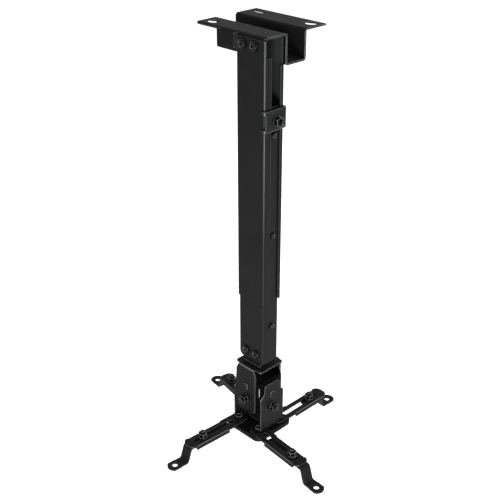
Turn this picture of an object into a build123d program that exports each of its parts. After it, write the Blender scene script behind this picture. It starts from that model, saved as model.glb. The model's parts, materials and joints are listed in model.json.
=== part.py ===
from build123d import *
import math
import os

# Telescopic ceiling mount for a projector, hanging as it is used.
# The origin is on the ceiling face, on the axis of the columns. X runs along the ceiling plate's
# folds, Y from the column's front wall to the ceiling plate's rear flange, and Z up. Millimetres.

# Ceiling plate, one folded sheet: front leg, front flange, trough, rear flange
PLATE_T = 2.0
PLATE_BEND = 1.5  # inside radius
PLATE_LENGTH = 107.0
FLANGE_W = 31.8
REAR_FLANGE_W = 33.3
TROUGH_W = 31.5  # over the outside of its two legs
TROUGH_DEPTH = 34.5
FRONT_LEG_H = 18.5
STIFFENER_X0 = -47.0
STIFFENER_X1 = -22.5
SLIT_X = -25.0
SLIT_W = 1.2
TAB_GAP = 0.1  # from the mounting tab to the column's bends
KEYHOLE_R = 7.0
KEYHOLE_SLOT_W = 8.0
KEYHOLE_SLOT_REACH = 8.0  # from the round hole's centre to the slot's end centre
CEILING_SLOT_L = 22.0  # over its round ends
CEILING_PITCH_X = 81.0
CEILING_PITCH_Y = 68.4
HOLE_EDGE_X = 14.5  # from the plate's left end to the left holes
HOLE_EDGE_Y = 10.5  # from the plate's rear edge to the rear holes
SMALL_HOLES = ((5.5, 5.3, 2.5), (-2.0, -3.3, 2.0), (-32.2, 13.0, 1.5))

# Outer column, a lipped channel that is open to the right
COLUMN_W = 43.0
COLUMN_D = 30.0
COLUMN_T = 1.5
COLUMN_BEND = 1.0
COLUMN_TOP = 3.5  # below the ceiling face
COLUMN_L = 312.5
FRONT_LIP = 10.4  # over the front wall
REAR_LIP = 5.5
FRONT_LIP_TOP = 22.5  # below the ceiling face
REAR_LIP_TOP = 32.7
COLUMN_CORNER = 3.0

# Inner column, a channel closed on the right
SLIDE_GAP = 0.4  # each side, between the columns
INNER_T = 1.5
INNER_BEND = 1.5
INNER_TOP = 76.5
INNER_L = 325.5
INNER_CORNER = 6.0

# Bolts that join column and plate, and column and yoke
JOIN_PITCH = 17.0
TOP_BOLT_X = -3.0
TOP_BOLT_DROP = 10.8
YOKE_BOLT_RISE = 11.5  # above the inner column's lower end
TONGUE_W = 30.0
TONGUE_H = 28.0  # above the inner column's lower end
TONGUE_CORNER = 5.0
YOKE_WINDOW_Y = 15.0  # rear edge of the window that the tongue is bent out of

# Lock clip on the inner column's upper end
CLIP_T = 2.0
CLIP_H = 24.5
CLIP_DROP = 1.5  # below the inner column's upper end
CLIP_GAP = 0.3
CLIP_HOOK = 4.0
CLIP_HOOK_REACH = 3.2
CLIP_WRAP = 7.5
CLIP_BEVEL = 1.5
CLIP_BOLT_DROP = 13.0  # below the clip's upper edge
COLUMN_SLOT_Y = 1.1  # where screws stand in the column's open side

# Guide screws in the inner column's right face
GUIDE_R = 2.0
GUIDE_HEAD_R = 3.8
GUIDE_HEAD_H = 2.6
GUIDE_DROP = 32.0
GUIDE_PITCH = 121.0
GUIDE_COUNT = 3

# Head: upper yoke, cross bracket and lower yoke
HEAD_T = 2.0
HEAD_BEND = 1.2
YOKE_GAP = 6.5  # from the inner column's lower end to the upper yoke
UPPER_D = 46.0  # over the legs
UPPER_LEG_W = 33.0
UPPER_LEG_TOP_W = 26.0
UPPER_LEG_H = 66.0
UPPER_CHAMFER = 9.0
UPPER_CORNER = 8.0
UPPER_WEB_LEFT = 20.5
UPPER_WEB_RIGHT = 23.0
WEB_CORNER = 3.0
RUB_GAP = 0.3  # between parts that turn on each other
ROLL_DROP = 28.5  # from the upper yoke's top to the front pivots
TILT_DROP = 11.0  # from the front pivots to the side pivots
LOCK_R = 18.3  # from a pivot to its lock bolt
CROSS_RISE = 10.0  # cross bracket's top over the front pivots
CROSS_H = 46.0
CROSS_FRONT_W = 39.0
CROSS_SIDE_W = 36.8
CROSS_CORNER = 4.0
LOWER_W = 48.0  # over the ears
EAR_W = 40.0
EAR_TOP_W = 27.0
EAR_RISE = 16.5  # over the side pivots
EAR_SHOULDER = 4.0  # over the side pivots
EAR_CORNER = 6.0
EAR_LIFT = 0.6  # clear of the arms
LOWER_WEB_W = 10.0
ROLL_DEG = 10.0
TILT_DEG = 15.0
SLOT_SPARE_DEG = 3.0
PIVOT_FIT = 0.05
PIVOT_R = 3.0
PIVOT_HEAD_R = 4.6
PIVOT_HEAD_H = 1.5
PIVOT_TAIL_R = 4.2

# Base plate, a shallow tray
BASE_X = 62.0
BASE_Y = 62.0
BASE_T = 2.0
BASE_RIM = 5.5
BASE_CORNER = 9.0
BASE_EDGE = 1.5
BASE_DROP = 52.0  # from the side pivots to its top face
CORNER_X = 17.5
CORNER_Y = 18.0

# Arms, channels with a long slot
ARM_W = 21.0
ARM_T = 2.0
ARM_DEPTH = 6.0
ARM_BEND = 0.5
ARM_REACH = 84.5  # from the pivot to the outer end
ARM_END_CORNER = 8.0
ARM_SKIRT_FROM = 24.0
ARM_SLOT_W = 7.0
ARM_SLOT_FROM = 13.5
ARM_SLOT_TO = 70.5

# Feet, strips that hold the projector by an eyelet
FOOT_T = 2.0
FOOT_SIDE_GAP = 0.5
FOOT_TOP_GAP = 0.2
FOOT_STRIP_W = 15.0
FOOT_SHOULDER = 9.0  # from the clamp bolt
FOOT_DROP = 18.0
FOOT_SLANT = 6.0
FOOT_BEND = 2.0
EYE_R = 3.5
EYE_RIM_R = 9.5
EYE_FROM_BEND = 15.0
FRONT_TAIL = 43.0
FRONT_EYE = 44.5
REAR_TAIL = 12.0
REAR_EYE = 37.5

# Fasteners
M6_R = 3.0
M6_HOLE_R = 3.3
M6_AF = 10.0
M6_NUT_H = 5.0
M6_WASHER_R = 6.0
M6_WASHER_T = 1.4
M6_HEAD_R = 5.4
M6_HEAD_H = 3.3
M6_TIP = 3.0
M5_R = 2.5
M5_HOLE_R = 2.8
M5_AF = 8.0
M5_NUT_H = 4.0
M5_HEAD_R = 4.6
M5_HEAD_H = 2.8
M5_TIP = 3.5
THREAD_FIT = 0.05
SOCKET_SHARE = 0.42
LOCK_TIP = 5.0

# Arms and feet as they stand: heading of the arm, its swing from the square, the clamp bolt's
# distance from the arm's pivot, and whether the foot is one of the long front ones
ARMS = {
    "front_left": (-1, -1, 270.0, -3.6, 59.6, True),
    "front_right": (1, -1, 0.0, -5.0, 63.9, True),
    "rear_right": (1, 1, 90.0, -0.7, 58.4, False),
    "rear_left": (-1, 1, 180.0, -11.2, 66.3, False),
}

# Heights and places that follow from the sizes above
COLUMN_FRONT = -COLUMN_D / 2
COLUMN_RIGHT = COLUMN_W / 2
LEG_FRONT = COLUMN_FRONT + COLUMN_T
PLATE_X0 = COLUMN_RIGHT - PLATE_LENGTH
MID_LEG_Y = LEG_FRONT + FLANGE_W
TROUGH_REAR = MID_LEG_Y - PLATE_T + TROUGH_W
PLATE_REAR = TROUGH_REAR - PLATE_T + REAR_FLANGE_W
INNER_W = COLUMN_W - 2 * (COLUMN_T + SLIDE_GAP)
INNER_D = COLUMN_D - 2 * (COLUMN_T + SLIDE_GAP)
INNER_FRONT = -INNER_D / 2
INNER_RIGHT = INNER_W / 2
INNER_END = -INNER_TOP - INNER_L
CLIP_TOP = -INNER_TOP - CLIP_DROP
CLIP_BOLT_Z = CLIP_TOP - CLIP_BOLT_DROP
YOKE_TOP = INNER_END - YOKE_GAP
ROLL_Z = YOKE_TOP - ROLL_DROP
TILT_Z = ROLL_Z - TILT_DROP
CROSS_Y = UPPER_D / 2 - HEAD_T - RUB_GAP
CROSS_X = LOWER_W / 2 - HEAD_T - RUB_GAP
CROSS_TOP = ROLL_Z + CROSS_RISE
BASE_TOP = TILT_Z - BASE_DROP
ARM_TOP = BASE_TOP + ARM_T
FOOT_TOP = BASE_TOP - FOOT_TOP_GAP
FOOT_WIDTH = ARM_W - 2 * ARM_T - 2 * FOOT_SIDE_GAP


def band(line, width):
    """Face of even width along a line in the XY plane, with square ends."""
    left = offset(line, amount=width / 2, side=Side.LEFT, closed=False)
    right = offset(line, amount=width / 2, side=Side.RIGHT, closed=False)
    sides = left.edges() + right.edges()
    caps = []
    for at in (0, 1):
        across = (line % at).rotate(Axis.Z, 90) * (width / 2)
        caps.append(Edge.make_line((line @ at) + across, (line @ at) - across))
    return Face(Wire.combine(sides + caps, tol=1e-4)[0])


def ribbon(points, thickness, inside_radius):
    """Section of a folded sheet, from the corners of its middle line."""
    line = FilletPolyline(*points, radius=inside_radius + thickness / 2)
    return band(line, thickness)


def cylinder(radius, z0, z1, x=0.0, y=0.0):
    """Upright cylinder between two heights."""
    return Pos(x, y, (z0 + z1) / 2) * Cylinder(radius, z1 - z0)


def block(x0, x1, y0, y1, z0, z1):
    """Box between two corners."""
    return Pos((x0 + x1) / 2, (y0 + y1) / 2, (z0 + z1) / 2) * Box(x1 - x0, y1 - y0, z1 - z0)


def along(direction, shape, x, y, z):
    """Turns an upright shape so that its +Z points along direction, at a place."""
    turn = {
        "-y": Rot(90, 0, 0),
        "+y": Rot(-90, 0, 0),
        "+x": Rot(0, 90, 0),
        "-x": Rot(0, -90, 0),
        "+z": Rot(0, 0, 0),
        "-z": Rot(180, 0, 0),
    }[direction]
    return Pos(x, y, z) * turn * shape


def button_bolt(radius, grip, tip, head_r, head_h):
    """Bolt with a domed socket head: the head stands on z 0, the shank runs down."""
    socket = extrude(RegularPolygon(head_r * SOCKET_SHARE, 6), head_h * 0.6)
    dome = cylinder(head_r, 0, head_h)
    dome = fillet(dome.edges().group_by(Axis.Z)[-1], head_h * 0.7)
    shank = cylinder(radius, -grip - tip, 0)
    shank = chamfer(shank.edges().group_by(Axis.Z)[0], radius * 0.2)
    return dome + shank - Pos(0, 0, head_h * 0.45) * socket


def hex_nut(across_flats, height, bore_r):
    """Nut that stands on z 0, its corners rounded off at the top."""
    body = extrude(RegularPolygon(across_flats / 2, 6, major_radius=False), height)
    corner = across_flats / math.sqrt(3)
    cone = cylinder(corner, 0, height)
    cone = chamfer(cone.edges().group_by(Axis.Z)[-1], corner * 0.1)
    return (body & cone) - cylinder(bore_r, -1, height + 1)


def washer(radius, bore_r, height):
    """Washer that stands on z 0."""
    ring = cylinder(radius, 0, height) - cylinder(bore_r, -1, height + 1)
    return ring


def slot_tool(length, width, z0, z1):
    """Upright cutter for a straight slot along X, length over its round ends."""
    return Pos(0, 0, z0) * extrude(SlotOverall(length, width), z1 - z0)


def arc_slot(radius, half_angle, width, depth):
    """Cutter for a curved slot below z 0's centre, in the XY plane, cut through depth."""
    a = math.radians(half_angle)
    left = Vector(-radius * math.sin(a), -radius * math.cos(a))
    right = Vector(radius * math.sin(a), -radius * math.cos(a))
    arc = ThreePointArc(left, Vector(0, -radius), right)
    cut = extrude(band(arc, width), depth, both=True)
    for end in (left, right):
        cut += Pos(end.X, end.Y, 0) * Cylinder(width / 2, 2 * depth)
    return cut


def keyhole():
    """Cutter for a round hole with a slot towards -X."""
    hole = Circle(KEYHOLE_R)
    hole += Pos(-KEYHOLE_SLOT_REACH / 2, 0) * SlotCenterToCenter(KEYHOLE_SLOT_REACH, KEYHOLE_SLOT_W)
    return Pos(0, 0, -PLATE_T - 1) * extrude(hole, PLATE_T + 2)


def ceiling_plate():
    """The folded sheet that is screwed to the ceiling."""
    h = PLATE_T / 2
    section = ribbon(
        [
            (LEG_FRONT + h, -FRONT_LEG_H),
            (LEG_FRONT + h, -h),
            (MID_LEG_Y - h, -h),
            (MID_LEG_Y - h, -TROUGH_DEPTH + h),
            (TROUGH_REAR - h, -TROUGH_DEPTH + h),
            (TROUGH_REAR - h, -h),
            (PLATE_REAR, -h),
        ],
        PLATE_T,
        PLATE_BEND,
    )
    sheet = extrude(Plane.YZ * section, PLATE_LENGTH)
    sheet = Pos(PLATE_X0, 0, 0) * sheet
    tab_x1 = COLUMN_RIGHT - COLUMN_T - COLUMN_BEND - TAB_GAP
    leg_y1 = LEG_FRONT + PLATE_T + PLATE_BEND
    below = -PLATE_T - PLATE_BEND
    for x0, x1 in (
        (PLATE_X0 - 1, STIFFENER_X0),
        (SLIT_X - SLIT_W / 2, SLIT_X + SLIT_W / 2),
        (STIFFENER_X1, -tab_x1),
        (tab_x1, COLUMN_RIGHT + 1),
    ):
        sheet -= block(x0, x1, LEG_FRONT - 1, leg_y1, -FRONT_LEG_H - 1, below)
        sheet -= block(x0, x1, LEG_FRONT - 1, LEG_FRONT + PLATE_T, below, -PLATE_T)
    hole_x = PLATE_X0 + HOLE_EDGE_X
    hole_y = PLATE_REAR - HOLE_EDGE_Y
    sheet -= Pos(hole_x, hole_y - CEILING_PITCH_Y, 0) * keyhole()
    sheet -= Pos(hole_x + CEILING_PITCH_X, hole_y, 0) * keyhole()
    slot = slot_tool(CEILING_SLOT_L, KEYHOLE_SLOT_W, -PLATE_T - 1, 1)
    sheet -= Pos(hole_x, hole_y, 0) * slot
    for x, y, radius in SMALL_HOLES:
        sheet -= cylinder(radius, -PLATE_T - 1, 1, x, y)
    for x in bolt_places(TOP_BOLT_X):
        hole = Cylinder(M6_HOLE_R, 4 * PLATE_T)
        sheet -= along("-y", hole, x, LEG_FRONT + PLATE_T / 2, -TOP_BOLT_DROP)
    return sheet


def bolt_places(centre):
    """X of the two bolts of a pair."""
    return (centre - JOIN_PITCH / 2, centre + JOIN_PITCH / 2)


def outer_column():
    """Lipped channel, bolted to the plate's front leg."""
    h = COLUMN_T / 2
    x = COLUMN_RIGHT - h
    y = COLUMN_D / 2 - h
    section = ribbon(
        [
            (x, COLUMN_FRONT + FRONT_LIP),
            (x, -y),
            (-x, -y),
            (-x, y),
            (x, y),
            (x, COLUMN_D / 2 - REAR_LIP),
        ],
        COLUMN_T,
        COLUMN_BEND,
    )
    bottom = -COLUMN_TOP - COLUMN_L
    column = Pos(0, 0, bottom) * extrude(section, COLUMN_L)
    inside = COLUMN_RIGHT - COLUMN_T - COLUMN_BEND
    outside = COLUMN_RIGHT + 1
    column -= block(inside, outside, COLUMN_FRONT + COLUMN_T + COLUMN_BEND, 0, -FRONT_LIP_TOP, 0)
    column -= block(inside, outside, 0, COLUMN_D, -REAR_LIP_TOP, 0)
    for x0 in bolt_places(TOP_BOLT_X):
        hole = Cylinder(M6_HOLE_R, 4 * COLUMN_T)
        column -= along("-y", hole, x0, COLUMN_FRONT + h, -TOP_BOLT_DROP)
    lip_ends = column.edges().filter_by(Axis.X).group_by(Axis.Z)[0]
    lip_ends = lip_ends.filter_by(lambda e: e.center().X > COLUMN_RIGHT - COLUMN_T - 0.01)
    lip_ends = lip_ends.filter_by(lambda e: abs(e.center().Y) < COLUMN_D / 2 - COLUMN_T)
    return fillet(lip_ends, COLUMN_CORNER)


def inner_column():
    """Channel that slides in the outer column and carries the head."""
    h = INNER_T / 2
    x = INNER_RIGHT - h
    y = INNER_D / 2 - h
    section = ribbon(
        [(-INNER_RIGHT, -y), (x, -y), (x, y), (-INNER_RIGHT, y)], INNER_T, INNER_BEND
    )
    column = Pos(0, 0, INNER_END) * extrude(section, INNER_L)
    free_corners = column.edges().filter_by(Axis.Y).group_by(Axis.X)[0]
    column = fillet(free_corners, INNER_CORNER)
    for x0 in bolt_places(0):
        hole = Cylinder(M6_HOLE_R, 4 * INNER_T)
        column -= along("-y", hole, x0, INNER_FRONT + h, INNER_END + YOKE_BOLT_RISE)
    hole = Cylinder(M6_HOLE_R, 4 * INNER_T)
    column -= along("+x", hole, INNER_RIGHT - h, COLUMN_SLOT_Y, CLIP_BOLT_Z)
    for z in guide_heights():
        hole = Cylinder(GUIDE_R + THREAD_FIT, 4 * INNER_T)
        column -= along("+x", hole, INNER_RIGHT - h, COLUMN_SLOT_Y, z)
    return column


def guide_heights():
    """Heights of the guide screws."""
    return [-INNER_TOP - GUIDE_DROP - i * GUIDE_PITCH for i in range(GUIDE_COUNT)]


def guide_screws():
    """Pan head screws that run in the outer column's open side."""
    screw = button_bolt(GUIDE_R, INNER_T, 2.5, GUIDE_HEAD_R, GUIDE_HEAD_H)
    return [along("+x", screw, INNER_RIGHT, COLUMN_SLOT_Y, z) for z in guide_heights()]


def lock_clip():
    """Clamp plate that hooks round the front corner and wraps the rear one."""
    x0 = COLUMN_RIGHT + CLIP_GAP
    x1 = x0 + CLIP_T
    y0 = COLUMN_FRONT - CLIP_GAP
    y1 = COLUMN_D / 2 + CLIP_GAP
    z0 = CLIP_TOP - CLIP_H
    h = CLIP_T / 2
    section = ribbon(
        [
            (x0 - CLIP_HOOK_REACH, y0 - h),
            (x0 + h, y0 - h),
            (x0 + h, y1 + h),
            (x1 - CLIP_WRAP, y1 + h),
        ],
        CLIP_T,
        0.4,
    )
    clip = Pos(0, 0, z0) * extrude(section, CLIP_H)
    clip -= block(
        x0 - CLIP_HOOK_REACH - 1, x0, y0 - CLIP_T - 1, y0 + 1, z0 + CLIP_HOOK, CLIP_TOP - CLIP_HOOK
    )
    clip -= block(
        x0 - 1, x1 + 1, y0 - CLIP_T - 1, y0 + 0.4, z0 + CLIP_HOOK, CLIP_TOP - CLIP_HOOK
    )
    low = clip.edges().filter_by(Axis.X).group_by(Axis.Z)[0].sort_by(Axis.Y)[-1]
    clip = chamfer(low, CLIP_BEVEL)
    hole = Cylinder(M6_HOLE_R, 4 * CLIP_T)
    return clip - along("+x", hole, x0, COLUMN_SLOT_Y, CLIP_BOLT_Z)


def lock_fasteners():
    """Bolt from inside the inner column, with its washer and nut on the clip."""
    face = COLUMN_RIGHT + CLIP_GAP + CLIP_T
    grip = face - (INNER_RIGHT - INNER_T) + M6_WASHER_T + M6_NUT_H
    bolt = button_bolt(M6_R, grip, LOCK_TIP, M6_HEAD_R, M6_HEAD_H)
    bolt = along("-x", bolt, INNER_RIGHT - INNER_T, COLUMN_SLOT_Y, CLIP_BOLT_Z)
    ring = washer(M6_WASHER_R, M6_HOLE_R, M6_WASHER_T)
    ring = along("+x", ring, face, COLUMN_SLOT_Y, CLIP_BOLT_Z)
    nut = hex_nut(M6_AF, M6_NUT_H, M6_R + THREAD_FIT)
    nut = along("+x", nut, face + M6_WASHER_T, COLUMN_SLOT_Y, CLIP_BOLT_Z)
    return bolt, ring, nut


def join_bolts(x_centre, wall_front, stack, z):
    """Two bolts from the front, with their nuts behind the stack of sheets."""
    bolts = []
    nuts = []
    for x in bolt_places(x_centre):
        bolt = button_bolt(M6_R, stack + M6_NUT_H, 0.6, M6_HEAD_R, M6_HEAD_H)
        bolts.append(along("-y", bolt, x, wall_front, z))
        nut = hex_nut(M6_AF, M6_NUT_H, M6_R + THREAD_FIT)
        nuts.append(along("+y", nut, x, wall_front + stack, z))
    return bolts, nuts


def leg_outline(bottom_w, top_w, height, chamfer_h, corner):
    """Leg in the XY plane, its top edge on y 0, splayed below a narrower top."""
    b = bottom_w / 2
    t = top_w / 2
    shape = Polygon(
        (-t, 0), (t, 0), (b, -chamfer_h), (b, -height), (-b, -height), (-b, -chamfer_h), align=None
    )
    low = shape.vertices().group_by(Axis.Y)[0]
    return fillet(low, corner)


def upper_yoke():
    """Inverted U below the inner column, with a tongue that is bolted inside it."""
    h = HEAD_T / 2
    y = UPPER_D / 2 - h
    leg_end = YOKE_TOP - UPPER_LEG_H
    section = ribbon(
        [(-y, leg_end), (-y, YOKE_TOP - h), (y, YOKE_TOP - h), (y, leg_end)], HEAD_T, HEAD_BEND
    )
    bent = extrude(Plane.YZ * section, UPPER_LEG_W / 2, both=True)
    mask = leg_outline(
        UPPER_LEG_W, UPPER_LEG_TOP_W, UPPER_LEG_H, UPPER_CHAMFER, UPPER_CORNER
    )
    mask = Plane.XZ * Pos(0, YOKE_TOP) * mask
    bent = bent & extrude(mask, UPPER_D, both=True)
    flat = UPPER_D / 2 - HEAD_T - HEAD_BEND
    web = block(-UPPER_WEB_LEFT, UPPER_WEB_RIGHT, -flat, flat, YOKE_TOP - HEAD_T, YOKE_TOP)
    web = fillet(web.edges().filter_by(Axis.Z), WEB_CORNER)
    yoke = bent + web
    tongue_y = INNER_FRONT + INNER_T
    tongue_top = INNER_END + TONGUE_H
    yoke -= block(
        -TONGUE_W / 2 - 1,
        TONGUE_W / 2 + 1,
        tongue_y,
        YOKE_WINDOW_Y,
        YOKE_TOP - 2 * HEAD_T,
        YOKE_TOP + 1,
    )
    bend = ribbon(
        [
            (tongue_y - HEAD_BEND - HEAD_T, YOKE_TOP - h),
            (tongue_y + h, YOKE_TOP - h),
            (tongue_y + h, tongue_top),
        ],
        HEAD_T,
        HEAD_BEND,
    )
    tongue = extrude(Plane.YZ * bend, TONGUE_W / 2, both=True)
    top_corners = tongue.edges().filter_by(Axis.Y).group_by(Axis.Z)[-1]
    tongue = fillet(top_corners, TONGUE_CORNER)
    yoke += tongue
    for x in bolt_places(0):
        hole = Cylinder(M6_HOLE_R, 4 * HEAD_T)
        yoke -= along("-y", hole, x, tongue_y + h, INNER_END + YOKE_BOLT_RISE)
    yoke -= along("-y", Cylinder(PIVOT_R + PIVOT_FIT, 2 * UPPER_D), 0, 0, ROLL_Z)
    groove = arc_slot(LOCK_R, ROLL_DEG + SLOT_SPARE_DEG, 2 * M6_R + 1, UPPER_D)
    yoke -= Pos(0, 0, ROLL_Z) * Rot(90, 0, 0) * groove
    return yoke


def cross_bracket():
    """Square web with four flaps, between the two yokes."""
    h = HEAD_T / 2
    end = CROSS_TOP - CROSS_H
    front = ribbon(
        [
            (-CROSS_Y + h, end),
            (-CROSS_Y + h, CROSS_TOP - h),
            (CROSS_Y - h, CROSS_TOP - h),
            (CROSS_Y - h, end),
        ],
        HEAD_T,
        HEAD_BEND,
    )
    front = extrude(Plane.YZ * front, CROSS_FRONT_W / 2, both=True)
    low = front.edges().filter_by(Axis.Y).group_by(Axis.Z)[0]
    front = fillet(low, CROSS_CORNER)
    side = ribbon(
        [
            (-CROSS_X + h, end),
            (-CROSS_X + h, CROSS_TOP - h),
            (CROSS_X - h, CROSS_TOP - h),
            (CROSS_X - h, end),
        ],
        HEAD_T,
        HEAD_BEND,
    )
    side = extrude(Plane.XZ * side, CROSS_SIDE_W / 2, both=True)
    low = side.edges().filter_by(Axis.X).group_by(Axis.Z)[0]
    side = fillet(low, CROSS_CORNER)
    bend_zone = CROSS_X - HEAD_T - HEAD_BEND
    flat_y = CROSS_Y - HEAD_T - HEAD_BEND
    for x0, x1 in ((bend_zone, CROSS_X), (-CROSS_X, -bend_zone)):
        front -= block(x0, x1, -flat_y, flat_y, CROSS_TOP - 2 * HEAD_T, CROSS_TOP + 1)
    bracket = front + side
    bracket -= along("-y", Cylinder(PIVOT_R, 2 * UPPER_D), 0, 0, ROLL_Z)
    bracket -= along("+x", Cylinder(PIVOT_R, 2 * LOWER_W), 0, 0, TILT_Z)
    bracket -= along("-y", Cylinder(M6_HOLE_R, 2 * UPPER_D), 0, 0, ROLL_Z - LOCK_R)
    bracket -= along("+x", Cylinder(M6_HOLE_R, 2 * LOWER_W), 0, 0, TILT_Z - LOCK_R)
    return bracket


def lower_yoke():
    """Upright U on the base plate. Its ears stand clear of the arms."""
    h = HEAD_T / 2
    x = LOWER_W / 2 - h
    ear_top = TILT_Z + EAR_RISE
    section = ribbon(
        [(-x, ear_top), (-x, BASE_TOP + h), (x, BASE_TOP + h), (x, ear_top)], HEAD_T, HEAD_BEND
    )
    bent = extrude(Plane.XZ * section, EAR_W / 2, both=True)
    w = EAR_W / 2
    t = EAR_TOP_W / 2
    shoulder = TILT_Z + EAR_SHOULDER
    ear_low = ARM_TOP + EAR_LIFT
    outline = Polygon(
        (-t, ear_top),
        (t, ear_top),
        (t, shoulder),
        (w, shoulder - (w - t)),
        (w, ear_low),
        (LOWER_WEB_W / 2, ear_low),
        (LOWER_WEB_W / 2, BASE_TOP),
        (-LOWER_WEB_W / 2, BASE_TOP),
        (-LOWER_WEB_W / 2, ear_low),
        (-w, ear_low),
        (-w, shoulder - (w - t)),
        (-t, shoulder),
        align=None,
    )
    top = outline.vertices().group_by(Axis.Y)[-1]
    outline = fillet(top, EAR_CORNER)
    yoke = bent & extrude(Plane.YZ * outline, LOWER_W, both=True)
    yoke -= along("+x", Cylinder(PIVOT_R + PIVOT_FIT, 2 * LOWER_W), 0, 0, TILT_Z)
    groove = arc_slot(LOCK_R, TILT_DEG + SLOT_SPARE_DEG, 2 * M6_R + 1, LOWER_W)
    yoke -= Pos(0, 0, TILT_Z) * Rot(0, 0, 90) * Rot(90, 0, 0) * groove
    return yoke


def pivot_rivet():
    """Rivet with its head on z 0 and its tail below the two sheets."""
    grip = 2 * HEAD_T + RUB_GAP
    head = cylinder(PIVOT_HEAD_R, 0, PIVOT_HEAD_H)
    head = fillet(head.edges().group_by(Axis.Z)[-1], PIVOT_HEAD_H * 0.6)
    shank = cylinder(PIVOT_R, -grip - PIVOT_HEAD_H, 0)
    tail = cylinder(PIVOT_TAIL_R, -grip - PIVOT_HEAD_H, -grip)
    return head + shank + tail


def lock_set():
    """Bolt from inside, washer and nut outside, for a sheet face on z 0."""
    grip = 2 * HEAD_T + RUB_GAP
    bolt = button_bolt(M6_R, grip + M6_WASHER_T + M6_NUT_H, M6_TIP, M6_HEAD_R, M6_HEAD_H)
    bolt = Pos(0, 0, -grip) * Rot(180, 0, 0) * bolt
    ring = washer(M6_WASHER_R, M6_HOLE_R, M6_WASHER_T)
    nut = Pos(0, 0, M6_WASHER_T) * hex_nut(M6_AF, M6_NUT_H, M6_R + THREAD_FIT)
    return bolt, ring, nut


def base_plate():
    """Shallow tray that carries the four arms."""
    rim = extrude(RectangleRounded(BASE_X, BASE_Y, BASE_CORNER), -BASE_RIM)
    rim = fillet(rim.edges().group_by(Axis.Z)[-1], BASE_EDGE)
    hollow = RectangleRounded(BASE_X - 2 * BASE_T, BASE_Y - 2 * BASE_T, BASE_CORNER - BASE_T)
    tray = rim - Pos(0, 0, -BASE_T) * extrude(hollow, -BASE_RIM)
    tray = Pos(0, 0, BASE_TOP) * tray
    for x, y in corner_places():
        tray -= cylinder(M5_HOLE_R, BASE_TOP - 5, BASE_TOP + 1, x, y)
    return tray


def corner_places():
    """The four arm pivots."""
    return [(sx * CORNER_X, sy * CORNER_Y) for sx, sy, *_ in ARMS.values()]


def corner_fasteners():
    """Bolts from below through plate and arm, nuts on top."""
    bolts = []
    nuts = []
    grip = BASE_T + ARM_T + M5_NUT_H
    for x, y in corner_places():
        bolt = button_bolt(M5_R, grip, M5_TIP, M5_HEAD_R, M5_HEAD_H)
        bolts.append(along("-z", bolt, x, y, BASE_TOP - BASE_T))
        nuts.append(Pos(x, y, ARM_TOP) * Rot(0, 0, 30) * hex_nut(M5_AF, M5_NUT_H, M5_R + THREAD_FIT))
    return bolts, nuts


def arm():
    """Arm along +X from its pivot at the origin, its underside on z 0."""
    w = ARM_W / 2
    outline = Pos(ARM_REACH / 2, 0) * Rectangle(ARM_REACH, ARM_W)
    outline = fillet(outline.vertices().group_by(Axis.X)[-1], ARM_END_CORNER)
    flat = extrude(outline + Circle(w), ARM_T)
    skirt_to = ARM_REACH - ARM_END_CORNER
    length = skirt_to - ARM_SKIRT_FROM
    h = ARM_T / 2
    low = ARM_T - ARM_DEPTH
    section = ribbon(
        [(-w + h, low), (-w + h, ARM_T - h), (w - h, ARM_T - h), (w - h, low)], ARM_T, ARM_BEND
    )
    channel = Pos(ARM_SKIRT_FROM, 0, 0) * extrude(Plane.YZ * section, length)
    flat -= block(ARM_SKIRT_FROM, skirt_to, -w - 1, w + 1, -1, ARM_T + 1)
    body = flat + channel
    cut = ARM_SLOT_TO - ARM_SLOT_FROM
    middle = (ARM_SLOT_TO + ARM_SLOT_FROM) / 2
    body -= Pos(middle, 0, 0) * slot_tool(cut + ARM_SLOT_W, ARM_SLOT_W, -1, ARM_T + 1)
    return body - cylinder(M5_R + PIVOT_FIT, -1, ARM_T + 1)


def foot(tail, eye):
    """Foot along +X, its clamp bolt at the origin and the bar's top face on z 0."""
    h = FOOT_T / 2
    bend_out = eye - EYE_FROM_BEND
    bend_in = bend_out - FOOT_SLANT
    reach = eye + EYE_RIM_R
    section = ribbon(
        [(-tail, -h), (bend_in, -h), (bend_out, -FOOT_DROP - h), (reach, -FOOT_DROP - h)],
        FOOT_T,
        FOOT_BEND,
    )
    strip = extrude(Plane.XZ * section, FOOT_WIDTH / 2, both=True)
    width = FOOT_WIDTH / 2
    neck = FOOT_STRIP_W / 2
    outline = Pos(width - tail, 0) * Circle(width)
    outline += Polygon(
        (width - tail, -width),
        (FOOT_SHOULDER, -width),
        (FOOT_SHOULDER + 2, -neck),
        (eye, -neck),
        (eye, neck),
        (FOOT_SHOULDER + 2, neck),
        (FOOT_SHOULDER, width),
        (width - tail, width),
        align=None,
    )
    outline += Pos(eye, 0) * Circle(EYE_RIM_R)
    strip = strip & Pos(0, 0, -2 * FOOT_DROP) * extrude(outline, 3 * FOOT_DROP)
    strip -= cylinder(M6_HOLE_R, -2 * FOOT_T, FOOT_T)
    return strip - cylinder(EYE_R, -FOOT_DROP - 2 * FOOT_T, -FOOT_DROP + FOOT_T, eye)


def foot_fasteners():
    """Clamp bolt from below, washer and nut on the arm. z 0 is the bar's top face."""
    bolt_grip = FOOT_T + FOOT_TOP_GAP + ARM_T + M6_WASHER_T + M6_NUT_H
    bolt = button_bolt(M6_R, bolt_grip, M6_TIP, M6_HEAD_R, M6_HEAD_H)
    bolt = Pos(0, 0, -FOOT_T) * Rot(180, 0, 0) * bolt
    top = FOOT_TOP_GAP + ARM_T
    ring = Pos(0, 0, top) * washer(M6_WASHER_R, M6_HOLE_R, M6_WASHER_T)
    nut = Pos(0, 0, top + M6_WASHER_T) * hex_nut(M6_AF, M6_NUT_H, M6_R + THREAD_FIT)
    return bolt, ring, nut


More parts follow.
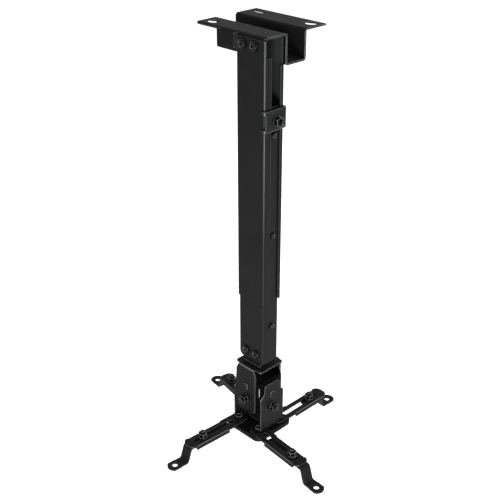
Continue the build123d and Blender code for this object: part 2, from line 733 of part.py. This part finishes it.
def build():
    """Every piece, by the name of its node."""
    pieces = {
        "ceiling_plate": ceiling_plate(),
        "outer_column": outer_column(),
        "inner_column": inner_column(),
        "guide_screws": guide_screws(),
        "lock_clip": lock_clip(),
        "upper_yoke": upper_yoke(),
        "cross_bracket": cross_bracket(),
        "lower_yoke": lower_yoke(),
        "base_plate": base_plate(),
    }
    pieces["lock_bolt"], pieces["lock_washer"], pieces["lock_nut"] = lock_fasteners()
    pieces["top_bolts"], pieces["top_nuts"] = join_bolts(
        TOP_BOLT_X, COLUMN_FRONT, COLUMN_T + PLATE_T, -TOP_BOLT_DROP
    )
    pieces["yoke_bolts"], pieces["yoke_nuts"] = join_bolts(
        0, INNER_FRONT, INNER_T + HEAD_T, INNER_END + YOKE_BOLT_RISE
    )
    rivet = pivot_rivet()
    y = UPPER_D / 2
    x = LOWER_W / 2
    pieces["roll_pivots"] = [along("-y", rivet, 0, -y, ROLL_Z), along("+y", rivet, 0, y, ROLL_Z)]
    pieces["tilt_pivots"] = [along("-x", rivet, -x, 0, TILT_Z), along("+x", rivet, x, 0, TILT_Z)]
    for name, piece in zip(("bolts", "washers", "nuts"), lock_set()):
        z = ROLL_Z - LOCK_R
        pieces[f"roll_lock_{name}"] = [along("-y", piece, 0, -y, z), along("+y", piece, 0, y, z)]
        z = TILT_Z - LOCK_R
        pieces[f"tilt_lock_{name}"] = [along("-x", piece, -x, 0, z), along("+x", piece, x, 0, z)]
    pieces["corner_bolts"], pieces["corner_nuts"] = corner_fasteners()
    for name, (sx, sy, heading, swing, clamp, is_front) in ARMS.items():
        place = Pos(sx * CORNER_X, sy * CORNER_Y, BASE_TOP) * Rot(0, 0, heading + swing)
        pieces[f"arm_{name}"] = place * arm()
        tail, eye = (FRONT_TAIL, FRONT_EYE) if is_front else (REAR_TAIL, REAR_EYE)
        place = place * Pos(clamp, 0, -FOOT_TOP_GAP)
        pieces[f"foot_{name}"] = place * foot(tail, eye)
        for part, piece in zip(("bolt", "washer", "nut"), foot_fasteners()):
            pieces[f"foot_{part}_{name}"] = place * piece
    return pieces


os.makedirs("parts", exist_ok=True)
for node, shape in build().items():
    solids = shape if isinstance(shape, list) else [shape]
    export_step(Compound(children=[s for piece in solids for s in piece.solids()]), f"parts/{node}.step")
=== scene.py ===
import json
import math

import bpy
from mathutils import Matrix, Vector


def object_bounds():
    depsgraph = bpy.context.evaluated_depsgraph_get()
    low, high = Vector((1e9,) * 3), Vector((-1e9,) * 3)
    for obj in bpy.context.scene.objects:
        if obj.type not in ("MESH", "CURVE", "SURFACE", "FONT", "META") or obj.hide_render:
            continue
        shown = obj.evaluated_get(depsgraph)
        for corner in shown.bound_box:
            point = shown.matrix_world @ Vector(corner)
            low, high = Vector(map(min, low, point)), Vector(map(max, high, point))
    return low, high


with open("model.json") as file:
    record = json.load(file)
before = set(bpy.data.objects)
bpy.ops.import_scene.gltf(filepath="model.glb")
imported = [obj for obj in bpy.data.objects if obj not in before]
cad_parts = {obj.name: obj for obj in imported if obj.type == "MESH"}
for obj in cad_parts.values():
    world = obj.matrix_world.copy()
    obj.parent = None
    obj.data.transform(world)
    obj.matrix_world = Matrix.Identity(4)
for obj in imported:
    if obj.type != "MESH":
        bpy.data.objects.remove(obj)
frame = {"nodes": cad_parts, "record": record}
cad_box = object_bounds()

# Camera, from the fit to points measured in the photograph
CAMERA_AT = (0.66225, -0.66748, 0.22963)
CAMERA_YAW = 45.44
CAMERA_PITCH = 27.26
FOCAL_LENGTH = 903.88
PICTURE_SIZE = 500
SENSOR_WIDTH = 36
CLIP_START = 0.01

# Lights: place, point they face, side lengths and power in watts
LIGHTS = {
    "key_light": ((-0.3, -1.6, 0.1), (0, 0, -0.2), (0.7, 0.7), 8.0),
    "side_light": ((1.8, -0.35, 0.0), (0, 0, -0.2), (0.5, 0.7), 27),
    "low_light": ((0.48, -0.50, -0.46), (0, 0, -0.12), (0.20, 0.20), 4),
    "top_light": ((0.0, 0.3, 1.6), (0, 0, -0.3), (0.8, 0.8), 13),
    "back_light": ((0.4, 1.5, 0.2), (0, 0, -0.25), (0.9, 0.9), 11),
    "left_light": ((-1.5, 0.3, 0.1), (0, 0, -0.25), (0.9, 0.9), 9),
}

# Surroundings: the mount hangs and its slide brings it down by 145 mm, so the floor is lower still
FLOOR_DROP = 0.22
FLOOR_HALF = 6.0
FLOOR_GREY = (0.8, 0.8, 0.8, 1)
FLOOR_GLOW = (0.7, 1.0)
GLOW_DISTANCE = (0.9, 1.8)
WHITE = (1, 1, 1, 1)
WORLD_SOFT = 0.25
WORLD_SEEN = 1.0

# Coat colours, linear: dark and pale ends of the random mottling; the pale one, scaled up, is also the
# painted highlight on edges and bends and the painted light on inner faces
COAT = (0.0090, 0.0093, 0.0091)
COAT_PALE_AND_HIGHLIGHT = (0.0116, 0.0119, 0.0117)
HEAD = (0.0076, 0.0079, 0.0077)
HEAD_PALE_AND_HIGHLIGHT = (0.0098, 0.0101, 0.0099)
CLIP = (0.0125, 0.0140, 0.0137)
CLIP_PALE_AND_HIGHLIGHT = (0.0160, 0.0178, 0.0174)
SHADED = (0.0040, 0.0041, 0.0040)
SHADED_PALE_AND_HIGHLIGHT = (0.0060, 0.0061, 0.0060)
ZINC = (0.0018, 0.0019, 0.0018)
# Cross bracket: painted shade, near black as it sits in the shadow under the upper yoke's web
CROSS_SHADE = (0.0014, 0.0015, 0.0014)
CROSS_SHADE_PALE_AND_HIGHLIGHT = (0.0024, 0.0025, 0.0024)
# Greenish tint of the light painted on the column's inner faces
INNER_LIGHT_TINT = (1.0, 1.12, 1.08)

# Grain of the coat: slow mottling of tint and gloss, fine orange peel and the waves under it
MOTTLE_SCALE = 45.0
MOTTLE_TINT = (0.3, 0.75)
MOTTLE_GLOSS = (0.25, 0.8)
GLOSS_LESS = 0.05
GLOSS_MORE = 0.06
PEEL_SCALE = 2600.0
PEEL_DEPTH = 0.00004
WAVE_SCALE = 420.0
WAVE_DEPTH = 0.0001
WAVE_SHARE = 0.6

# Painted highlight on edges and bends, with the side on which they shine and the least share elsewhere
EDGE_RADIUS = 0.0011
EDGE_RANGE = (0.86, 0.98)
BEND_RANGE = (0.76, 0.95)
LIT_SIDE = (0.73, -0.22, 0.65)
LIT_RANGE = (0.0, 0.35)
UNLIT_SHARE = 0.08
# The column's painted highlight on its bends fades downwards, to a share below this height range
COLUMN_HIGHLIGHT_FADE = (-0.24, -0.13)
FADED_HIGHLIGHT_SHARE = 0.2

# Painted shade in crevices, and painted light on faces turned to the part's upright axis
CREVICE_SHADE_REACH = 0.004
OPEN_RANGE = (0.50, 0.88)
INWARD = -0.002
SAMPLES = 6


def node(tree, kind, at, **values):
    """Adds a shader node and sets its inputs and properties."""
    n = tree.nodes.new(kind)
    n.location = at
    for name, value in values.items():
        if name in n.inputs:
            n.inputs[name].default_value = value
        else:
            setattr(n, name, value)
    return n


def feed(tree, socket, source):
    """Gives a socket its source: another node's output, or a constant."""
    if isinstance(source, bpy.types.NodeSocket):
        tree.links.new(source, socket)
    else:
        socket.default_value = source


def number(tree, at, operation, *sources):
    """Result of a math node."""
    n = node(tree, "ShaderNodeMath", at, operation=operation)
    for socket, source in zip(n.inputs, sources):
        feed(tree, socket, source)
    return n.outputs["Value"]


def vector(tree, at, operation, *sources):
    """Result of a vector math node: a number for a dot product or a length, else a vector."""
    n = node(tree, "ShaderNodeVectorMath", at, operation=operation)
    for socket, source in zip(n.inputs, sources):
        feed(tree, socket, source)
    return n.outputs["Value" if operation in ("DOT_PRODUCT", "LENGTH") else "Vector"]


def ramp(tree, at, source, ends, values):
    """Colour ramp between two greys or colours while the source runs between two ends."""
    n = node(tree, "ShaderNodeValToRGB", at)
    for element, position, value in zip(n.color_ramp.elements, ends, values):
        element.position = position
        element.color = (*value, 1) if isinstance(value, tuple) else (value, value, value, 1)
    tree.links.new(source, n.inputs["Fac"])
    return n.outputs["Color"]


def span(tree, at, source, ends, values):
    """Value that runs between two values while the source runs between two ends."""
    n = node(tree, "ShaderNodeMapRange", at)
    n.inputs["From Min"].default_value, n.inputs["From Max"].default_value = ends
    n.inputs["To Min"].default_value, n.inputs["To Max"].default_value = values
    tree.links.new(source, n.inputs["Value"])
    return n.outputs["Result"]


def blend(tree, at, amount, base, over):
    """Colour mix: base where the amount is 0, over where it is 1."""
    n = node(tree, "ShaderNodeMix", at, data_type="RGBA")
    for name, source in (("Factor", amount), ("A", base), ("B", over)):
        feed(tree, n.inputs[name], source)
    return n.outputs["Result"]


def times(colour, share):
    """Opaque colour scaled by one share, or by a share for each channel."""
    shares = share if isinstance(share, tuple) else (share,) * 3
    return (*(c * s for c, s in zip(colour, shares)), 1)


def edge_highlight_mask(tree, rounded):
    """1 on edges, where the rounded normal leaves the face's own and a highlight is painted."""
    shape = node(tree, "ShaderNodeNewGeometry", (-800, 700))
    likeness = vector(tree, (-600, 600), "DOT_PRODUCT", rounded, shape.outputs["Normal"])
    return ramp(tree, (-400, 550), likeness, EDGE_RANGE, (1.0, 0.0))


def bend_highlight_mask(tree, coords, bends):
    """The given share of painted highlight on rounded bends, where the normal lies along none of the
    part's axes.
    """
    split = node(tree, "ShaderNodeSeparateXYZ", (-1000, 900))
    tree.links.new(coords.outputs["Normal"], split.inputs["Vector"])
    sizes = [
        number(tree, (-800, 1000 - 150 * row), "ABSOLUTE", split.outputs[axis])
        for row, axis in enumerate("XYZ")
    ]
    larger = number(tree, (-600, 850), "MAXIMUM", sizes[0], sizes[1])
    largest = number(tree, (-600, 700), "MAXIMUM", larger, sizes[2])
    return ramp(tree, (-400, 900), largest, BEND_RANGE, (bends, 0.0))


def painted_highlight_mask(tree, coords, rounded, bends, highlight_fade):
    """Painted highlight on edges and bends, strongest on the lit side, and fading downwards if asked."""
    highlight_places = number(
        tree, (-150, 700), "MAXIMUM", bend_highlight_mask(tree, coords, bends), edge_highlight_mask(tree, rounded)
    )
    toward = vector(tree, (-600, 450), "DOT_PRODUCT", rounded, LIT_SIDE)
    lit_share = ramp(tree, (-400, 350), toward, LIT_RANGE, (UNLIT_SHARE, 1.0))
    painted_highlight = number(tree, (0, 700), "MULTIPLY", highlight_places, lit_share)
    if highlight_fade is None:
        return painted_highlight
    height = node(tree, "ShaderNodeSeparateXYZ", (-600, 250))
    tree.links.new(coords.outputs["Object"], height.inputs["Vector"])
    share = span(tree, (-400, 150), height.outputs["Z"], highlight_fade, (FADED_HIGHLIGHT_SHARE, 1.0))
    return number(tree, (150, 700), "MULTIPLY", painted_highlight, share)


def painted_inner_light_mask(tree, coords):
    """1 on faces that look back at the part's upright axis, where light is painted on."""
    flat = vector(tree, (-350, 1400), "MULTIPLY", coords.outputs["Object"], (1, 1, 0))
    outward = vector(tree, (-150, 1400), "DOT_PRODUCT", flat, coords.outputs["Normal"])
    return number(tree, (0, 1400), "LESS_THAN", outward, INWARD)


def crevice_shade_mask(tree):
    """0 in crevices, where shade is painted, and 1 in the open."""
    near = node(
        tree, "ShaderNodeAmbientOcclusion", (-200, 1150), samples=SAMPLES, Distance=CREVICE_SHADE_REACH
    )
    return ramp(tree, (0, 1150), near.outputs["AO"], OPEN_RANGE, (0.0, 1.0))


def coat_normal(tree, place, rounded, grain):
    """Normal of the coat: slow waves, with fine orange peel on them."""
    waves = node(tree, "ShaderNodeTexNoise", (-800, -400), Scale=WAVE_SCALE, Detail=1.0)
    peel = node(tree, "ShaderNodeTexNoise", (-800, -100), Scale=PEEL_SCALE, Detail=2.0, Roughness=0.5)
    swell = node(
        tree, "ShaderNodeBump", (-150, -350), Strength=grain * WAVE_SHARE, Distance=WAVE_DEPTH
    )
    bump = node(tree, "ShaderNodeBump", (100, -200), Strength=grain, Distance=PEEL_DEPTH)
    tree.links.new(rounded, swell.inputs["Normal"])
    tree.links.new(swell.outputs["Normal"], bump.inputs["Normal"])
    for noise, relief in ((waves, swell), (peel, bump)):
        tree.links.new(place.outputs["Vector"], noise.inputs["Vector"])
        tree.links.new(noise.outputs["Fac"], relief.inputs["Height"])
    return bump.outputs["Normal"]


def coat_material(
    name,
    dark,
    light,
    rough,
    grain,
    seed,
    specular=0.03,
    bends=1.0,
    highlight_gain=6.0,
    highlight_fade=None,
    inner_light=1.0,
    crevice_shade=0.3,
):
    """Powder coat: fine orange peel, slight mottling, painted highlight on edges and bends, painted
    shade in crevices.

    On edges and bends the painted highlight is the light colour times its strength, and on faces
    turned to the axis the painted light is the light colour times its own strength; in crevices the
    painted shade is the dark colour times its share.
    """
    mat = bpy.data.materials.new(name)
    mat.use_nodes = True
    tree = mat.node_tree
    tree.nodes.clear()
    out = node(tree, "ShaderNodeOutputMaterial", (700, 0))
    shader = node(tree, "ShaderNodeBsdfPrincipled", (400, 0))
    shader.inputs["Specular IOR Level"].default_value = specular
    shader.inputs["IOR"].default_value = 1.5

    coords = node(tree, "ShaderNodeTexCoord", (-1200, 0))
    place = node(tree, "ShaderNodeMapping", (-1000, 0), Location=(seed, seed * 0.37, seed * 0.71))
    tree.links.new(coords.outputs["Object"], place.inputs["Vector"])
    mottle = node(
        tree, "ShaderNodeTexNoise", (-800, 200), Scale=MOTTLE_SCALE, Detail=4.0, Roughness=0.6
    )
    tree.links.new(place.outputs["Vector"], mottle.inputs["Vector"])
    edges = node(tree, "ShaderNodeBevel", (-800, 500), samples=SAMPLES, Radius=EDGE_RADIUS)
    rounded = edges.outputs["Normal"]

    tint = ramp(tree, (-500, 250), mottle.outputs["Fac"], MOTTLE_TINT, (dark, light))
    painted_highlight = painted_highlight_mask(tree, coords, rounded, bends, highlight_fade)
    # Painted highlight: edges and bends take the light colour times the highlight strength
    colour = blend(tree, (0, 300), painted_highlight, tint, times(light, highlight_gain))
    # Painted light: faces turned to the column's axis take the light colour, scaled and tinted
    if inner_light > 1:
        painted_inner_light = times(light, tuple(inner_light * share for share in INNER_LIGHT_TINT))
        colour = blend(tree, (200, 800), painted_inner_light_mask(tree, coords), colour, painted_inner_light)
    # Painted shade: crevices take the dark colour, scaled by its share
    colour = blend(tree, (200, 500), crevice_shade_mask(tree), times(dark, crevice_shade), colour)
    roughs = (rough - GLOSS_LESS, rough + GLOSS_MORE)
    gloss = ramp(tree, (-500, 0), mottle.outputs["Fac"], MOTTLE_GLOSS, roughs)
    tree.links.new(colour, shader.inputs["Base Color"])
    tree.links.new(gloss, shader.inputs["Roughness"])
    tree.links.new(coat_normal(tree, place, rounded, grain), shader.inputs["Normal"])
    tree.links.new(shader.outputs["BSDF"], out.inputs["Surface"])
    return mat


def dress(frame):
    """Gives each piece the coat of its material slot, or one of its own."""
    # Strength of the painted highlight differs per coat: strong on the plate's cut edges and on fastener
    # rims, where it stands in for glints, weaker on the head's nuts and bolts
    plate = coat_material("plate_coat_black", COAT, COAT_PALE_AND_HIGHLIGHT, 0.50, 0.30, 1, 0.02, bends=0.0, highlight_gain=24.0)
    column = coat_material(
        "column_coat_black", COAT, COAT_PALE_AND_HIGHLIGHT, 0.32, 0.25, 2, highlight_gain=9.0, highlight_fade=COLUMN_HIGHLIGHT_FADE, inner_light=3.4
    )
    inner = coat_material("inner_coat_black", COAT, COAT_PALE_AND_HIGHLIGHT, 0.34, 0.25, 3, bends=0.15)
    clip = coat_material("clip_coat_black", CLIP, CLIP_PALE_AND_HIGHLIGHT, 0.30, 0.25, 4, highlight_gain=10.0)
    head = coat_material("head_coat_black", HEAD, HEAD_PALE_AND_HIGHLIGHT, 0.34, 0.28, 5, highlight_gain=15.0)
    base = coat_material("base_coat_black", SHADED, SHADED_PALE_AND_HIGHLIGHT, 0.36, 0.28, 6, bends=0.3)
    arm = coat_material("arm_coat_black", COAT, COAT_PALE_AND_HIGHLIGHT, 0.32, 0.25, 7, highlight_gain=7.0)
    foot = coat_material("foot_coat_black", COAT, COAT_PALE_AND_HIGHLIGHT, 0.30, 0.25, 8, bends=0.0, crevice_shade=1.6)
    bolt = coat_material("fastener_black", ZINC, SHADED, 0.14, 0.06, 9, 0.11, bends=0.0, highlight_gain=60.0)
    # The cross bracket's coat is painted shade
    cross = coat_material("cross_coat_painted_shade", CROSS_SHADE, CROSS_SHADE_PALE_AND_HIGHLIGHT, 0.45, 0.28, 10, 0.01, bends=0.0)
    head_bolt = coat_material(
        "head_fastener_black", ZINC, SHADED, 0.14, 0.06, 11, 0.09, bends=0.0, highlight_gain=32.0
    )
    of_slot = {
        "plate_coat": plate,
        "column_coat": column,
        "inner_coat": inner,
        "clip_coat": clip,
        "head_coat": head,
        "base_coat": base,
        "arm_coat": arm,
        "foot_coat": foot,
        "black_fasteners": bolt,
    }
    of_piece = {
        "cross_bracket": cross,
        "roll_pivots": head,
        "tilt_pivots": head,
        "roll_lock_nuts": head_bolt,
        "roll_lock_bolts": head_bolt,
        "tilt_lock_nuts": head_bolt,
        "tilt_lock_bolts": head_bolt,
    }
    slots = {part["node"]: part["material_slot"] for part in frame["record"]["subparts"]}
    for name, obj in frame["nodes"].items():
        obj.data.materials.clear()
        obj.data.materials.append(of_piece.get(name, of_slot[slots[name]]))


def area_light(name, at, target, size, power):
    """Soft rectangular light that faces a point and that the camera doesn't see."""
    light = bpy.data.lights.new(name, "AREA")
    light.shape = "RECTANGLE"
    light.size, light.size_y = size
    light.energy = power
    obj = bpy.data.objects.new(name, light)
    bpy.context.scene.collection.objects.link(obj)
    obj.location = at
    direction = [t - a for t, a in zip(target, at)]
    length = math.sqrt(sum(d * d for d in direction))
    pitch = math.acos(-direction[2] / length)
    yaw = math.atan2(direction[1], direction[0]) - math.pi / 2
    obj.rotation_euler = (pitch, 0, yaw)
    obj.visible_camera = False


def show_white(tree, output, plain, white):
    """Shows the white shader to camera, glossy and transmission rays, and the plain one to others."""
    out = node(tree, output, (600, 0))
    rays = node(tree, "ShaderNodeLightPath", (0, 400))
    seen = number(
        tree, (200, 350), "MAXIMUM", rays.outputs["Is Camera Ray"], rays.outputs["Is Glossy Ray"]
    )
    also = number(tree, (350, 350), "MAXIMUM", seen, rays.outputs["Is Transmission Ray"])
    switch = node(tree, "ShaderNodeMixShader", (450, 0))
    tree.links.new(also, switch.inputs["Fac"])
    tree.links.new(plain, switch.inputs[1])
    tree.links.new(white, switch.inputs[2])
    tree.links.new(switch.outputs["Shader"], out.inputs["Surface"])


def floor_material():
    """Pale floor that still takes shadows, and is pure white far from the mount."""
    mat = bpy.data.materials.new("floor_white")
    mat.use_nodes = True
    tree = mat.node_tree
    tree.nodes.clear()
    plain = node(tree, "ShaderNodeBsdfDiffuse", (0, -100), Color=FLOOR_GREY)
    coords = node(tree, "ShaderNodeTexCoord", (-800, 200))
    distance = vector(tree, (-600, 200), "LENGTH", coords.outputs["Object"])
    glow = span(tree, (-400, 200), distance, GLOW_DISTANCE, FLOOR_GLOW)
    white = node(tree, "ShaderNodeEmission", (0, 100), Color=WHITE)
    tree.links.new(glow, white.inputs["Strength"])
    both = node(tree, "ShaderNodeAddShader", (300, 0))
    tree.links.new(plain.outputs["BSDF"], both.inputs[0])
    tree.links.new(white.outputs["Emission"], both.inputs[1])
    show_white(tree, "ShaderNodeOutputMaterial", plain.outputs["BSDF"], both.outputs["Shader"])
    return mat


def lay_floor():
    """Square floor below the lowest pose."""
    z = cad_box[0][2] - FLOOR_DROP
    corners = [(x * FLOOR_HALF, y * FLOOR_HALF, z) for x, y in ((-1, -1), (1, -1), (1, 1), (-1, 1))]
    mesh = bpy.data.meshes.new("floor")
    mesh.from_pydata(corners, [], [(0, 1, 2, 3)])
    mesh.materials.append(floor_material())
    floor = bpy.data.objects.new("floor", mesh)
    bpy.context.scene.collection.objects.link(floor)


def light_world():
    """World that lights the part softly and looks white itself."""
    world = bpy.data.worlds.new("studio")
    bpy.context.scene.world = world
    world.use_nodes = True
    tree = world.node_tree
    tree.nodes.clear()
    soft = node(tree, "ShaderNodeBackground", (0, -100), Color=WHITE, Strength=WORLD_SOFT)
    white = node(tree, "ShaderNodeBackground", (0, 100), Color=WHITE, Strength=WORLD_SEEN)
    show_white(tree, "ShaderNodeOutputWorld", soft.outputs["Background"], white.outputs["Background"])


def place_camera():
    """Camera of the photograph."""
    camera = bpy.data.objects.new("camera", bpy.data.cameras.new("camera"))
    camera.data.sensor_width = SENSOR_WIDTH
    camera.data.lens = FOCAL_LENGTH / PICTURE_SIZE * SENSOR_WIDTH
    camera.data.clip_start = CLIP_START
    camera.location = CAMERA_AT
    camera.rotation_euler = (math.radians(90 - CAMERA_PITCH), 0, math.radians(CAMERA_YAW))
    bpy.context.scene.collection.objects.link(camera)
    bpy.context.scene.camera = camera


dress(frame)
for light_name, light_values in LIGHTS.items():
    area_light(light_name, *light_values)
lay_floor()
light_world()
place_camera()
bpy.context.scene.view_settings.view_transform = "Standard"
